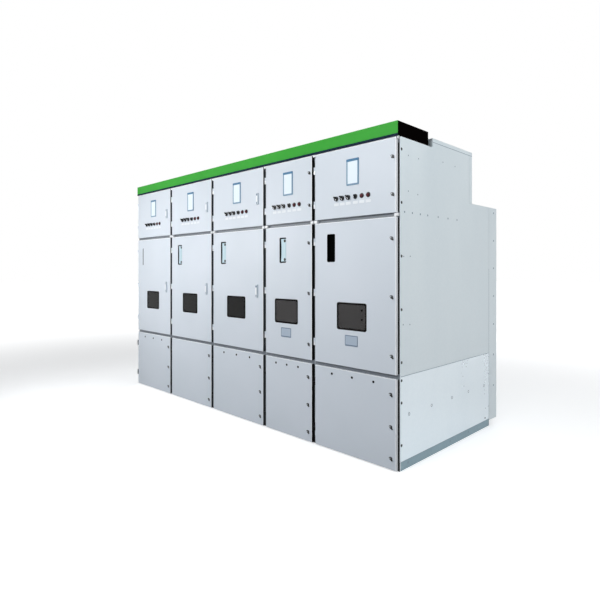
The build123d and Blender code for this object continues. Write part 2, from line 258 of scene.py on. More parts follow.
def galvanised(name, low, high, roughness=(0.40, 0.52), metallic=0.35):
    """Zinc-coated sheet: faint spangle, upright rolling streaks and shallow waves."""
    material = new_material(name, high, roughness[0], metallic)
    coordinates = add_node(material, "ShaderNodeTexCoord")
    spangle = add_node(material, "ShaderNodeTexVoronoi", Scale=55.0)
    link(material, coordinates.outputs["Object"], spangle.inputs["Vector"])
    streaks = object_noise(material, 2.2, 3.0, (1, 1, 0.25))
    tone = add_node(material, "ShaderNodeMix", data_type="FLOAT")
    tone.inputs[0].default_value = 0.12
    link(material, streaks, tone.inputs[2])
    separate = add_node(material, "ShaderNodeSeparateColor")
    link(material, spangle.outputs["Color"], separate.inputs["Color"])
    link(material, separate.outputs["Red"], tone.inputs[3])
    vary_colour(material, tone.outputs[0], low, high)
    vary_roughness(material, tone.outputs[0], *roughness)
    add_bump(material, object_noise(material, 1.4, 2.0), 0.3, 0.006)
    return material


def plain_finish(name, colour, roughness, metallic=0.0, grain=400.0, strength=0.1, spread=0.06):
    """Plastic, paint or plated metal with a fine grain and small changes of gloss."""
    material = new_material(name, colour, roughness, metallic)
    vary_roughness(material, object_noise(material, 40.0, 3.0), roughness - spread, roughness + spread)
    add_bump(material, object_noise(material, grain, 2.0), strength, 0.0002)
    return material


def glass(name, tint):
    material = new_material(name, tint, 0.03)
    shader_of(material).inputs["Transmission Weight"].default_value = 0.9
    shader_of(material).inputs["IOR"].default_value = 1.2
    vary_roughness(material, object_noise(material, 12.0, 4.0), 0.02, 0.08)
    return material


def lamp_lens(name):
    material = new_material(name, (0.060, 0.002, 0.008), 0.45)
    shader_of(material).inputs["Specular IOR Level"].default_value = 0.25
    facets = add_node(material, "ShaderNodeTexVoronoi", Scale=500.0)
    coordinates = add_node(material, "ShaderNodeTexCoord")
    link(material, coordinates.outputs["Object"], facets.inputs["Vector"])
    add_bump(material, facets.outputs["Distance"], 0.3, 0.0004)
    return material


door_paint = powder_coat("door_paint", (0.62, 0.675, 0.735), (0.665, 0.715, 0.78))
shader_of(door_paint).inputs["Specular IOR Level"].default_value = 0.3
side_sheet = galvanised("galvanised_sheet", (0.73, 0.81, 0.85), (0.79, 0.86, 0.89))
low_sheet = galvanised("galvanised_low_sheet", (0.72, 0.80, 0.85), (0.79, 0.86, 0.90), (0.26, 0.38), 0.65)
base_section = galvanised("galvanised_section", (0.26, 0.38, 0.44), (0.34, 0.47, 0.53))
# The rails' dark grey is painted shade: pale rails as they look in the shade of the horizontal gaps between
# the doors.
shaded_rail_paint = powder_coat("shaded_rail_paint", (0.15, 0.17, 0.19), (0.18, 0.20, 0.23))
# Near-black on the front posts and the long base channels is painted shade: the deep gaps between the doors
# and the dark strip along the floor.
dark_frame = plain_finish("dark_frame", (0.012, 0.012, 0.015), 0.45)
fascia_green = powder_coat("fascia_green", (0.040, 0.33, 0.036), (0.048, 0.37, 0.042), (0.42, 0.52))
shader_of(fascia_green).inputs["Specular IOR Level"].default_value = 0.12
# Navy that paints the shadow under the fascia.
navy_shadow_band = plain_finish("navy_shadow_band", (0.003, 0.010, 0.028), 0.6)
shader_of(navy_shadow_band).inputs["Specular IOR Level"].default_value = 0.1
box_black = powder_coat("box_black", (0.002, 0.001, 0.001), (0.004, 0.003, 0.003), (0.8, 0.9))
shader_of(box_black).inputs["Specular IOR Level"].default_value = 0.0
zinc_plate = plain_finish("zinc_plate", (0.70, 0.72, 0.74), 0.26, 1.0)
hinge_paint = plain_finish("hinge_paint", (0.80, 0.82, 0.84), 0.3, 0.3)
lever_chrome = plain_finish("lever_chrome", (0.48, 0.62, 0.68), 0.42, 0.1, 120.0, 0.05)
shader_of(lever_chrome).inputs["Specular IOR Level"].default_value = 0.25
black_plastic = plain_finish("black_plastic", (0.006, 0.006, 0.007), 0.36)
black_gloss = plain_finish("black_gloss", (0.004, 0.004, 0.005), 0.14, 0.0, 300.0, 0.03)
black_rubber = plain_finish("black_rubber", (0.004, 0.003, 0.003), 0.8, 0.0, 700.0, 0.3)
shader_of(black_rubber).inputs["Specular IOR Level"].default_value = 0.1
# A grey copy of the strips' rubber: painted shade that is lighter on the first three cubicles.
grey_gap_shade = plain_finish("grey_gap_shade", (0.055, 0.060, 0.070), 0.8, 0.0, 700.0, 0.3)
shader_of(grey_gap_shade).inputs["Specular IOR Level"].default_value = 0.1
tag_plastic = plain_finish("tag_plastic", (0.76, 0.80, 0.84), 0.5)
# White that paints highlights: the door edge lines and the centres of the end plugs.
highlight_white = plain_finish("highlight_white", (0.93, 0.95, 0.98), 0.5)
fastener_grey = plain_finish("fastener_grey", (0.26, 0.34, 0.40), 0.5, 0.2)
recess_black = plain_finish("recess_black", (0.002, 0.002, 0.002), 0.8)
shader_of(recess_black).inputs["Specular IOR Level"].default_value = 0.0
# White for the latch handles and selector lines; on the fascia underside and the gap caps it paints
# highlights.
white_plastic_and_highlight = plain_finish("white_plastic_and_highlight", (0.82, 0.84, 0.86), 0.35)
blued_steel = plain_finish("blued_steel", (0.016, 0.022, 0.030), 0.45, 0.4)
latch_grey = plain_finish("latch_grey", (0.50, 0.56, 0.62), 0.4, 0.2)
key_metal = plain_finish("key_metal", (0.42, 0.45, 0.48), 0.4, 0.4)
display_blue = plain_finish("display_blue", (0.040, 0.16, 0.30), 0.4)
display_frame = plain_finish("display_frame", (0.15, 0.27, 0.39), 0.4)
display_screen = plain_finish("display_screen", (0.76, 0.85, 0.92), 0.4, 0.0, 900.0, 0.02)
plate_metal = plain_finish("plate_metal", (0.36, 0.43, 0.52), 0.45, 0.2, 200.0, 0.1)
plate_border = plain_finish("plate_border", (0.12, 0.17, 0.24), 0.4, 0.3)
window_glass = glass("window_glass", (0.35, 0.335, 0.335))
# The first three panes' darker glass is painted shade; it is the same glass as the last two.
shaded_window_glass = glass("shaded_window_glass", (0.07, 0.07, 0.07))
lens_red = lamp_lens("lens_red")

NODE_MATERIALS = {
    "base_long_channels": dark_frame,
    "base_side_channels": base_section,
    "base_cross_bars": base_section,
    "front_posts": dark_frame,
    "front_rails": shaded_rail_paint,
    "fascia": fascia_green,
    "lower_side_panels": low_sheet,
    "small_bus_box": box_black,
    "frame_hinges": hinge_paint,
    "window_pane_1": shaded_window_glass,
    "window_pane_2": shaded_window_glass,
    "window_pane_3": shaded_window_glass,
}
KIND_MATERIALS = {
    "instrument_door": door_paint,
    "breaker_door": door_paint,
    "cable_door": door_paint,
    "window_pane": window_glass,
    "display": display_frame,
    "instrument_latch": latch_grey,
    "breaker_latch": latch_grey,
    "handle_recess": recess_black,
}


def node_material(node):
    kind = node.rstrip("0123456789").rstrip("_")
    return NODE_MATERIALS.get(node) or KIND_MATERIALS.get(kind) or side_sheet


for node_name, node_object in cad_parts.items():
    node_object.data.materials.clear()
    node_object.data.materials.append(node_material(node_name))


# Places on the doors

HINGE_REACH = 0.016
HINGE_OFFSET = 0.009
LATCH_INSET = 0.013


def door_sheet(kind, number):
    """Left, right, bottom and top of a door's sheet, without its hinge knuckles."""
    low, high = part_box(f"{kind}_{number}")
    return low.x + HINGE_REACH, high.x, low.z, high.z


def on_door(kind, number, from_latch, above_bottom):
    left, right, bottom, top = door_sheet(kind, number)
    return local_frame((right - from_latch, DOOR_FRONT, bottom + above_bottom), "front")


def box_centre(node, depth=DOOR_FRONT):
    low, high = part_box(node)
    centre = (low + high) / 2
    return local_frame((centre.x, depth, centre.z), "front")


# Quarter-turn locks along the latch edge

LOCKED_CUBICLES = {
    "instrument_door": (4, 5),
    "breaker_door": (4, 5),
    "cable_door": CUBICLES,
}
LOCK_PLACES = {
    "instrument_door": (0.029, (0.128, 0.388)),
    "breaker_door": (0.036, (0.126, 0.537, 0.944)),
    "cable_door": (0.043, (0.077, 0.295, 0.520)),
}
LOCK_RADIUS = 0.0125
WING_SIZE = (0.0125, 0.034)
WING_TURN = 48
KEY_RADIUS = 0.0050


def add_lock(mesh, place):
    """A dark round housing with a slanted wing, and a plated key socket at the wing's upper end."""
    radius = LOCK_RADIUS
    rim = [(radius, 0), (radius, 0.0016), (0.9 * radius, 0.003), (0.5 * radius, 0.0034), (0, 0.0034)]
    add_lathe(mesh, place, rim, 32, 0)
    wing = place @ Matrix.Rotation(math.radians(WING_TURN), 4, "Z") @ Matrix.Translation((0, -0.003, 0))
    width, length = WING_SIZE
    add_prism(mesh, wing, rounded_outline(width, length, 0.0045, 5), 0.0030, 0.0062, 0)
    add_prism(mesh, wing, rounded_outline(width - 0.003, length - 0.003, 0.0035, 5), 0.0062, 0.0072, 0)
    key = wing @ Matrix.Translation((0, 0.0075, 0))
    sunk = [
        (KEY_RADIUS, 0.0070), (KEY_RADIUS, 0.0078), (0.7 * KEY_RADIUS, 0.0080),
        (0.6 * KEY_RADIUS, 0.0074), (0, 0.0074),
    ]
    add_lathe(mesh, key, sunk, 20, 1)


def door_locks(kind, number):
    mesh = bmesh.new()
    from_latch, heights = LOCK_PLACES[kind]
    for height in heights:
        add_lock(mesh, on_door(kind, number, from_latch, height))
    materials = [black_plastic, key_metal]
    make_piece(f"{kind}_locks_{number}", mesh, materials, f"{kind}_{number}", 0.0003)


# Displays

SCREEN_MARGIN = 0.011
SCREEN_DEPTH = 0.0015
TOP_BAR = 0.019


def display_face(number):
    """The lit glass in the display's recess and the coloured bar over it."""
    low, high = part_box(f"display_{number}")
    width = high.x - low.x
    height = high.z - low.z
    place = box_centre(f"display_{number}", depth=low.y)
    door = f"instrument_door_{number}"
    screen = bmesh.new()
    glass_size = (width - 2 * SCREEN_MARGIN - 0.001, height - 2 * SCREEN_MARGIN - 0.001)
    add_prism(screen, place, rectangle(*glass_size), -SCREEN_DEPTH, -0.0004)
    make_piece(f"display_screen_{number}", screen, [display_screen], door, 0.0003)
    bar = bmesh.new()
    bar_place = place @ Matrix.Translation((0, (height - TOP_BAR) / 2, 0))
    add_prism(bar, bar_place, rounded_outline(width, TOP_BAR, 0.003), 0, 0.0012)
    make_piece(f"display_bar_{number}", bar, [display_blue], door, 0.0004)


# Selectors and lamps

FIRST_DEVICE = 0.0145
SELECTOR_PITCH = 0.058
SMALL_SELECTOR_PITCH = 0.068
LAMP_PITCH = 0.059
BEZEL_RADIUS = 0.0190
BEZEL_HEIGHT = 0.004
KNOB_RADIUS = 0.0175
SMALL_KNOB_RADIUS = 0.0085
KNOB_HEIGHT = 0.014
GRIP_HEIGHT = 0.0235
GRIP_OVERHANG = 0.012
LENS_RADIUS = 0.0130
LENS_HEIGHT = 0.013
DOME_RADIUS = 0.0045
DOME_STEPS = 6
DEVICE_BODY_RADIUS = 0.011
DEVICE_BODY_DEPTH = 0.045
BLACK, RING, POINTER_AND_HIGHLIGHT, LENS = range(4)


def device_places(number):
    """The frame of each device, from the first selector to the last lamp."""
    low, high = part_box(f"control_row_{number}")
    level = (low.z + high.z) / 2
    selectors = [low.x + FIRST_DEVICE + step * SELECTOR_PITCH for step in range(3)]
    small = selectors[-1] + SMALL_SELECTOR_PITCH
    across = selectors + [small, small + LAMP_PITCH, small + 2 * LAMP_PITCH]
    return [local_frame((x, DOOR_FRONT, level), "front") for x in across]


def add_device_base(mesh, place):
    radius = BEZEL_RADIUS
    bezel = [(radius, 0), (radius, 0.0022), (0.95 * radius, 0.0036), (0.86 * radius, BEZEL_HEIGHT)]
    add_lathe(mesh, place, bezel + [(0.5 * radius, BEZEL_HEIGHT)], 36, RING)
    body = [(0, -DEVICE_BODY_DEPTH), (DEVICE_BODY_RADIUS, -DEVICE_BODY_DEPTH), (DEVICE_BODY_RADIUS, 0)]
    add_lathe(mesh, place, body, 24, BLACK)


def add_selector(mesh, place, radius, turn):
    """A round cap with a tapered grip across it, and a white line along the grip's lower half: a pointer mark
    that is also a painted highlight.
    """
    add_device_base(mesh, place)
    cap = [
        (radius, BEZEL_HEIGHT), (radius, KNOB_HEIGHT - 0.002),
        (0.88 * radius, KNOB_HEIGHT), (0, KNOB_HEIGHT),
    ]
    add_lathe(mesh, place, cap, 36, BLACK)
    turned = place @ Matrix.Rotation(math.radians(turn), 4, "Z")
    grip_length = 2 * radius + GRIP_OVERHANG
    low = rounded_outline(0.0125, grip_length, 0.003, 4)
    high = rounded_outline(0.0070, 0.92 * grip_length, 0.0025, 4)
    add_prism(mesh, turned, low, KNOB_HEIGHT - 0.001, KNOB_HEIGHT + 0.001, BLACK)
    add_prism(mesh, turned, high, KNOB_HEIGHT + 0.001, GRIP_HEIGHT - 0.0004, BLACK)
    line = turned @ Matrix.Translation((0, -0.25 * grip_length, 0))
    add_prism(mesh, line, rectangle(0.0034, 0.36 * grip_length), GRIP_HEIGHT - 0.0006, GRIP_HEIGHT, POINTER_AND_HIGHLIGHT)


def add_lamp(mesh, place):
    add_device_base(mesh, place)
    radius = LENS_RADIUS
    shoulder = LENS_HEIGHT - DOME_RADIUS
    profile = [(radius, BEZEL_HEIGHT), (radius, shoulder)]
    for step in range(1, DOME_STEPS + 1):
        angle = math.pi / 2 * step / DOME_STEPS
        rounded = radius - DOME_RADIUS * (1 - math.cos(angle))
        profile.append((rounded, shoulder + DOME_RADIUS * math.sin(angle)))
    add_lathe(mesh, place, profile + [(0, LENS_HEIGHT)], 36, LENS)


def control_devices(number):
    mesh = bmesh.new()
    places = device_places(number)
    for place in places[:3]:
        add_selector(mesh, place, KNOB_RADIUS, 45)
    add_selector(mesh, places[3], SMALL_KNOB_RADIUS, 0)
    for place in places[4:]:
        add_lamp(mesh, place)
    materials = [black_gloss, black_plastic, white_plastic_and_highlight, lens_red]
    piece = make_piece(
        f"control_devices_{number}", mesh, materials, f"instrument_door_{number}", 0.0003
    )
    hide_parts(f"control_row_{number}")


TAG_SIZE = (0.046, 0.020)
TAG_DROP = 0.044
TAG_HEIGHT = 0.0012


def tag_plates(number):
    """A bare pale plate under each device."""
    mesh = bmesh.new()
    for place in device_places(number):
        lowered = place @ Matrix.Translation((0, -TAG_DROP, 0))
        add_prism(mesh, lowered, rounded_outline(*TAG_SIZE, 0.002, 3), 0, TAG_HEIGHT)
    door = f"instrument_door_{number}"
    make_piece(f"tag_plates_{number}", mesh, [tag_plastic], door, 0.0003)


# Windows

SEAL_LIP = 0.007
SEAL_CORNER = 0.016
SEAL_HEIGHT = 0.0025
PANE_MARGIN = 0.015
WINDOW_RADIUS = 0.022
SHEET = 0.002


def window_seal(number):
    """A black rubber profile round the window's cut edge, down to the glass."""
    low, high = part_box(f"window_pane_{number}")
    width = high.x - low.x - 2 * PANE_MARGIN
    height = high.z - low.z - 2 * PANE_MARGIN
    place = box_centre(f"window_pane_{number}")

    def outline(margin):
        radius = SEAL_CORNER if margin > 0 else WINDOW_RADIUS + margin
        return rounded_outline(width + 2 * margin, height + 2 * margin, radius, 8)

    stations = [
        (outline(-0.0003), -SHEET),
        (outline(-0.0003), 0.0001),
        (outline(SEAL_LIP), 0.0001),
        (outline(0.7 * SEAL_LIP), 0.8 * SEAL_HEIGHT),
        (outline(0), SEAL_HEIGHT),
        (outline(-0.7 * SEAL_LIP), 0.7 * SEAL_HEIGHT),
        (outline(-SEAL_LIP), -0.2 * SHEET),
        (outline(-SEAL_LIP), -SHEET),
    ]
    mesh = bmesh.new()
    add_rim(mesh, place, stations)
    make_piece(f"window_seal_{number}", mesh, [black_rubber], f"breaker_door_{number}")


# Two dark studs on the pane of the last window, near its right edge

STUD_PLACES = ((0.038, 0.046), (0.038, 0.115))
STUD_PROFILE = ((0, -0.0002), (0.0085, -0.0002), (0.0085, 0.0009), (0.006, 0.0016), (0, 0.0016))


def pane_studs(number):
    low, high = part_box(f"window_pane_{number}")
    mesh = bmesh.new()
    for from_right, from_top in STUD_PLACES:
        x = high.x - PANE_MARGIN - from_right
        z = high.z - PANE_MARGIN - from_top
        add_lathe(mesh, local_frame((x, low.y, z), "front"), STUD_PROFILE, 20)
    make_piece(f"pane_studs_{number}", mesh, [black_rubber], f"breaker_door_{number}")


# Operating handles

RECESS_SIZE = (0.084, 0.216)
RECESS_RADIUS = 0.012
RECESS_WALL = 0.0015
RECESS_LIP = 0.008
RECESS_DEPTH = 0.030
LEVER_WIDTH = 0.068
LEVER_WAIST = 0.058
LEVER_LENGTH = 0.192
LEVER_FRONT = -0.0035
LEVER_BACK = -0.012
LEVER_SHIFT = 0.0055
FOOT_RADIUS = 0.008
PIVOT_RADIUS = 0.0125
PIVOT_PLACE = (0.016, 0.079)


def recess_outline(margin):
    width, height = RECESS_SIZE
    return rounded_outline(width + 2 * margin, height + 2 * margin, RECESS_RADIUS + margin, 6)


def add_tray(mesh, place):
    """The dished tray behind the slot, with its flange against the back of the door sheet."""
    floor = -RECESS_DEPTH + RECESS_WALL
    stations = [
        (recess_outline(RECESS_LIP), -SHEET),
        (recess_outline(0), -SHEET),
        (recess_outline(0), floor + 0.004),
        (recess_outline(-0.004), floor),
        (recess_outline(-0.004), -RECESS_DEPTH),
        (recess_outline(RECESS_WALL), -RECESS_DEPTH),
        (recess_outline(RECESS_WALL), -SHEET - RECESS_WALL),
        (recess_outline(RECESS_LIP), -SHEET - RECESS_WALL),
    ]
    add_rim(mesh, place, stations)
    add_prism(mesh, place, recess_outline(-0.004), -RECESS_DEPTH, floor)


def lever_outline(inset, steps=12):
    """Both sides drawn in to a waist, between straight ends."""
    half_length = LEVER_LENGTH / 2 - inset
    right_side = []
    for step in range(steps + 1):
        along = 1 - 2 * step / steps
        half_width = LEVER_WAIST / 2 + (LEVER_WIDTH - LEVER_WAIST) / 2 * along ** 2 - inset
        right_side.append((half_width, along * half_length))
    left_side = [(-x, -y) for x, y in right_side]
    return (right_side + left_side)[::-1]


def operating_handle(number):
    """A pale lever with a waist and two dark pivots, on two feet in its black tray."""
    place = box_centre(f"operating_handle_{number}")
    mesh = bmesh.new()
    add_tray(mesh, place)
    lever_place = place @ Matrix.Translation((LEVER_SHIFT, 0, 0))
    add_rim(mesh, lever_place, [
        (lever_outline(0.002), LEVER_BACK),
        (lever_outline(0), LEVER_BACK + 0.002),
        (lever_outline(0), LEVER_FRONT - 0.003),
        (lever_outline(0.003), LEVER_FRONT),
        (lever_outline(0.010), LEVER_FRONT),
        (lever_outline(0.013), LEVER_FRONT - 0.0015),
    ], 1)
    add_prism(mesh, lever_place, lever_outline(0.0128), LEVER_BACK, LEVER_FRONT - 0.0015, 1)
    for side in (-1, 1):
        foot = lever_place @ Matrix.Translation((0, side * (LEVER_LENGTH / 2 - 0.016), 0))
        add_lathe(mesh, foot, [(FOOT_RADIUS, LEVER_BACK), (FOOT_RADIUS, -RECESS_DEPTH + RECESS_WALL)], 20, 1)
        pivot = lever_place @ Matrix.Translation((PIVOT_PLACE[0], side * PIVOT_PLACE[1], 0))
        add_lathe(mesh, pivot, [
            (0, LEVER_FRONT - 0.002),
            (PIVOT_RADIUS, LEVER_FRONT - 0.002),
            (PIVOT_RADIUS, LEVER_FRONT + 0.0010),
            (PIVOT_RADIUS - 0.002, LEVER_FRONT + 0.0018),
            (0, LEVER_FRONT + 0.0018),
        ], 24, 0)
    piece = make_piece(
        f"handle_set_{number}", mesh, [black_plastic, lever_chrome], f"breaker_door_{number}"
    )
    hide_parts(f"operating_handle_{number}")


def empty_recess_floor(number):
    """The bare mechanism plate that shows at the bottom of the tray without a lever."""
    place = box_centre(f"handle_recess_{number}")
    mesh = bmesh.new()
    floor = -RECESS_DEPTH + RECESS_WALL
    add_prism(mesh, place, rounded_outline(0.056, 0.176, 0.006, 4), floor, floor + 0.003, 0)
    for side in (-1, 1):
        stud = place @ Matrix.Translation((0, side * 0.066, 0))
        add_lathe(mesh, stud, [
            (0.006, floor + 0.003), (0.006, floor + 0.007), (0.005, floor + 0.008), (0, floor + 0.008),
        ])
    door = f"breaker_door_{number}"
    make_piece(f"recess_plate_{number}", mesh, [recess_black], door, 0.0005)


LINE_SIZE = (0.014, 0.200)
LINE_PLACE = (0.638, 0.890)


def handle_line(number):
    """The narrow dark slot frame that the first cubicle has in place of a lever."""
    mesh = bmesh.new()
    place = on_door("breaker_door", number, *LINE_PLACE)
    add_prism(mesh, place, rounded_outline(*LINE_SIZE, 0.004, 4), 0, 0.0015, 0)
    door = f"breaker_door_{number}"
    make_piece(f"handle_slot_trim_{number}", mesh, [blued_steel], door, 0.0004)


# Rod latches

def latch_trim(kind, number):
    """The raised handle of a rod latch with a round key cover over it and a stud under it."""
    node = f"{kind}_latch_{number}"
    low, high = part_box(node)
    height = high.z - low.z
    place = box_centre(node, depth=low.y)
    cover_paint = plate_border if number == 3 else latch_grey
    mesh = bmesh.new()
    handle_outline = rounded_outline(0.016, 0.52 * height, 0.004, 4)
    add_prism(mesh, place, handle_outline, 0, 0.004, 0)
    cover = place @ Matrix.Translation((0, 0.36 * height, 0))
    add_lathe(mesh, cover, [(0.0085, 0), (0.0085, 0.002), (0.007, 0.003), (0, 0.003)], 28, 1)
    stud = place @ Matrix.Translation((0, -0.37 * height, 0))
    add_lathe(mesh, stud, [(0.006, 0), (0.006, 0.0014), (0.005, 0.002), (0, 0.002)], 24, 1)
    materials = [white_plastic_and_highlight, cover_paint]
    make_piece(f"{node}_trim", mesh, materials, f"{kind}_door_{number}", 0.0008)


# Bare plates under two windows

PLATE_SIZE = (0.122, 0.080)
PLATE_DROP = 0.084
PLATED_CUBICLES = (4, 5)


def bare_plate(number):
    """A blank metal plate with a darker frame and four pins."""
    low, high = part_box(f"window_pane_{number}")
    place = local_frame(((low.x + high.x) / 2, DOOR_FRONT, low.z + PANE_MARGIN - PLATE_DROP), "front")
    width, height = PLATE_SIZE
    mesh = bmesh.new()
    add_prism(mesh, place, rounded_outline(width, height, 0.003, 3), 0, 0.001, 1)
    inner = place @ Matrix.Translation((0, 0.002, 0))
    add_prism(mesh, inner, rounded_outline(width - 0.012, height - 0.016, 0.002, 3), 0.0008, 0.0016, 0)
    for x_side in (-1, 1):
        for y_side in (-1, 1):
            pin = place @ Matrix.Translation((x_side * (width / 2 - 0.004), y_side * (height / 2 - 0.004), 0))
            add_lathe(mesh, pin, [(0.002, 0.001), (0.0014, 0.002), (0, 0.0022)], 12, 0)
    materials = [plate_metal, plate_border]
    make_piece(f"bare_plate_{number}", mesh, materials, f"breaker_door_{number}", 0.0002)


# Dark plugs along the top of the cable doors

PLUG_PLACES = (0.586, 0.388, 0.192)
NARROW_PLUG_PLACES = (0.429, 0.294, 0.158)
PLUG_ABOVE_BOTTOM = 0.584
PLUG_RADIUS = 0.0095
PLUGGED_CUBICLES = (1, 3, 4, 5)


def cable_door_plugs(number):
    mesh = bmesh.new()
    for from_latch in NARROW_PLUG_PLACES if number == NARROW_CUBICLE else PLUG_PLACES:
        place = on_door("cable_door", number, from_latch, PLUG_ABOVE_BOTTOM)
        radius = PLUG_RADIUS
        add_lathe(mesh, place, [(radius, 0), (radius, 0.0012), (0.8 * radius, 0.0026), (0, 0.003)], 24)
    make_piece(f"cable_door_plugs_{number}", mesh, [black_rubber], f"cable_door_{number}")


# Rubber seals on the front frame, where the doors close

SEAL_WIDTH = 0.008
SEAL_FRONT = -0.0208
SEAL_BACK = -0.025


def door_seals():
    """A foam strip round every door opening, just short of the closed door."""
    mesh = bmesh.new()
    for number in CUBICLES:
        for kind in LOCK_PLACES:
            left, right, bottom, top = door_sheet(kind, number)
            place = local_frame(((left + right) / 2, DOOR_FRONT, (bottom + top) / 2), "front")
            width = right - left
            height = top - bottom
            outer = rectangle(width, height)
            inner = rectangle(width - 2 * SEAL_WIDTH, height - 2 * SEAL_WIDTH)
            crown = rectangle(width - SEAL_WIDTH, height - SEAL_WIDTH)
            middle = 0.3 * SEAL_BACK + 0.7 * SEAL_FRONT
            add_rim(mesh, place, [
                (outer, SEAL_BACK), (outer, middle), (crown, SEAL_FRONT), (inner, middle), (inner, SEAL_BACK),
            ])
    make_piece("door_seals", mesh, [black_rubber], "housing")


# The fascia's lower edge: a navy band, which is a painted shadow, and a white underside behind it, which is a
# painted highlight

SHADOW_BAND_HEIGHT = 0.018
SHADOW_BAND_PROUD = 0.0008
SHADOW_BAND_OVERHANG = 0.001


def fascia_shadow_band():
    mesh = bmesh.new()
    middle = FASCIA_BOTTOM - SHADOW_BAND_OVERHANG + SHADOW_BAND_HEIGHT / 2
    place = local_frame((0, DOOR_FRONT, middle), "front")
    add_prism(mesh, place, rectangle(2 * HALF_LENGTH, SHADOW_BAND_HEIGHT), -0.004, SHADOW_BAND_PROUD)
    make_piece("fascia_shadow_band", mesh, [navy_shadow_band], "housing", 0.0003)
    # The white plate under the fascia is a painted highlight in the gap over the doors.
    underside = bmesh.new()
    underside_place = local_frame((0, DOOR_FRONT + 0.0145, FASCIA_BOTTOM - 0.0006), "top")
    add_prism(underside, underside_place, rectangle(2 * HALF_LENGTH, 0.021), -0.0004, 0.0008)
    make_piece("fascia_underside_highlight", underside, [white_plastic_and_highlight], "housing")


# Painted highlights: white pieces where the gaps between the doors cross, where the lit rail shows

CAP_BACK = -0.0235
CAP_FRONT = -0.004
TOP_CAP_HEIGHT = 0.018
CROSSING_HEIGHT = 0.021


def gap_highlight_caps():
    """White caps at the top of each upright gap and at both sides of each crossing: painted highlights of the
    lit rail.
    """
    mesh = bmesh.new()
    crossing = (door_sheet("breaker_door", 1)[3] + door_sheet("instrument_door", 1)[2]) / 2
    for number in CUBICLES:
        right = door_sheet("breaker_door", number)[1]
        last = number == len(CUBICLES)
        boundary = right + LATCH_INSET
        top_right = boundary - 0.0008 if last else boundary + 0.017
        spans = [(boundary - 0.007, top_right, FASCIA_BOTTOM - 0.0015 - TOP_CAP_HEIGHT / 2, TOP_CAP_HEIGHT)]
        crossing_right = boundary - 0.0008 if last else boundary - 0.003
        spans.append((boundary - 0.032, crossing_right, crossing, CROSSING_HEIGHT))
        if not last:
            spans.append((boundary + 0.008, boundary + 0.042, crossing, CROSSING_HEIGHT))
        for low, high, level, height in spans:
            place = local_frame(((low + high) / 2, DOOR_FRONT, level), "front")
            add_prism(mesh, place, rounded_outline(high - low, height, 0.002, 3), CAP_BACK, CAP_FRONT)
    make_piece("gap_highlight_caps", mesh, [white_plastic_and_highlight], "housing", 0.0008)


# Painted shade: dark strips on the closing edges, between neighbouring cubicles, where the gaps lie in shade;
# grey on the first three cubicles and black on the fourth

EDGE_SHADE_THICKNESS = 0.0016
EDGE_SHADE_WIDTH = 0.0185
EDGE_MIDDLE = 0.0105
GREY_SHADE_CUBICLES = (1, 2, 3)


def edge_shade_strip(kind, number):
    left, right, bottom, top = door_sheet(kind, number)
    place = local_frame((right, DOOR_FRONT + EDGE_MIDDLE, (bottom + top) / 2), "right")
    outline = rounded_outline(EDGE_SHADE_WIDTH, top - bottom - 0.002, 0.001, 2)
    # The strips are painted shade, grey or black by cubicle.
    rubber = grey_gap_shade if number in GREY_SHADE_CUBICLES else black_rubber
    mesh = bmesh.new()
    add_prism(mesh, place, outline, -0.0002, EDGE_SHADE_THICKNESS)
    make_piece(f"{kind}_edge_shade_strip_{number}", mesh, [rubber], f"{kind}_{number}")


# Painted highlights: white lines where the sheet turns round each door's upper and closing edge, and a white
# strip on the last door's return

HIGHLIGHT_WIDTH = 0.0045
HIGHLIGHT_RISE = 0.0003
RETURN_HIGHLIGHT_WIDTH = 0.0190


def highlight_lines(kind, number):
    left, right, bottom, top = door_sheet(kind, number)
    mesh = bmesh.new()
    upper = local_frame(((left + right) / 2, DOOR_FRONT, top - HIGHLIGHT_WIDTH / 2 - 0.0005), "front")
    add_prism(mesh, upper, rectangle(right - left - 0.001, HIGHLIGHT_WIDTH), -0.0002, HIGHLIGHT_RISE)
    across = right - HIGHLIGHT_WIDTH / 2 - 0.0005
    upright = local_frame((across, DOOR_FRONT, (bottom + top - HIGHLIGHT_WIDTH) / 2), "front")
    add_prism(mesh, upright, rectangle(HIGHLIGHT_WIDTH, top - bottom - HIGHLIGHT_WIDTH - 0.003), -0.0002, HIGHLIGHT_RISE)
    # The last door's return gets a white strip, a painted highlight where light falls on it.
    if number == len(CUBICLES):
        facing = local_frame((right, DOOR_FRONT + EDGE_MIDDLE, (bottom + top) / 2), "right")
        outline = rounded_outline(RETURN_HIGHLIGHT_WIDTH, top - bottom - 0.002, 0.001, 2)
        add_prism(mesh, facing, outline, -0.0002, HIGHLIGHT_RISE)
    make_piece(f"{kind}_highlight_lines_{number}", mesh, [highlight_white], f"{kind}_{number}")


# The folded front edge of the end panels, which narrows the dark gap beside the last door

CORNER_COVER_REACH = (0.0277, 0.0378)
CORNER_COVER_LEVELS = (0.001, 2.306)


def corner_covers():
    mesh = bmesh.new()
    near, far = CORNER_COVER_REACH
    low, high = CORNER_COVER_LEVELS
    for side, facing in ((1, "right"), (-1, "left")):
        place = local_frame((side * HALF_LENGTH, DOOR_FRONT + (near + far) / 2, (low + high) / 2), facing)
        add_prism(mesh, place, rounded_outline(far - near, high - low, 0.001, 2), -0.0015, 0.0002)
    make_piece("corner_covers", mesh, [side_sheet], "housing")


# Sealed joints on the end panels: between them, over the base, at their rear edge and under the lid

SEAM_WIDTH = 0.004
SEAM_RISE = 0.0003
SEAM_SUNK = -0.0004
REAR_SEAM_LEVELS = (0.062, 1.400)


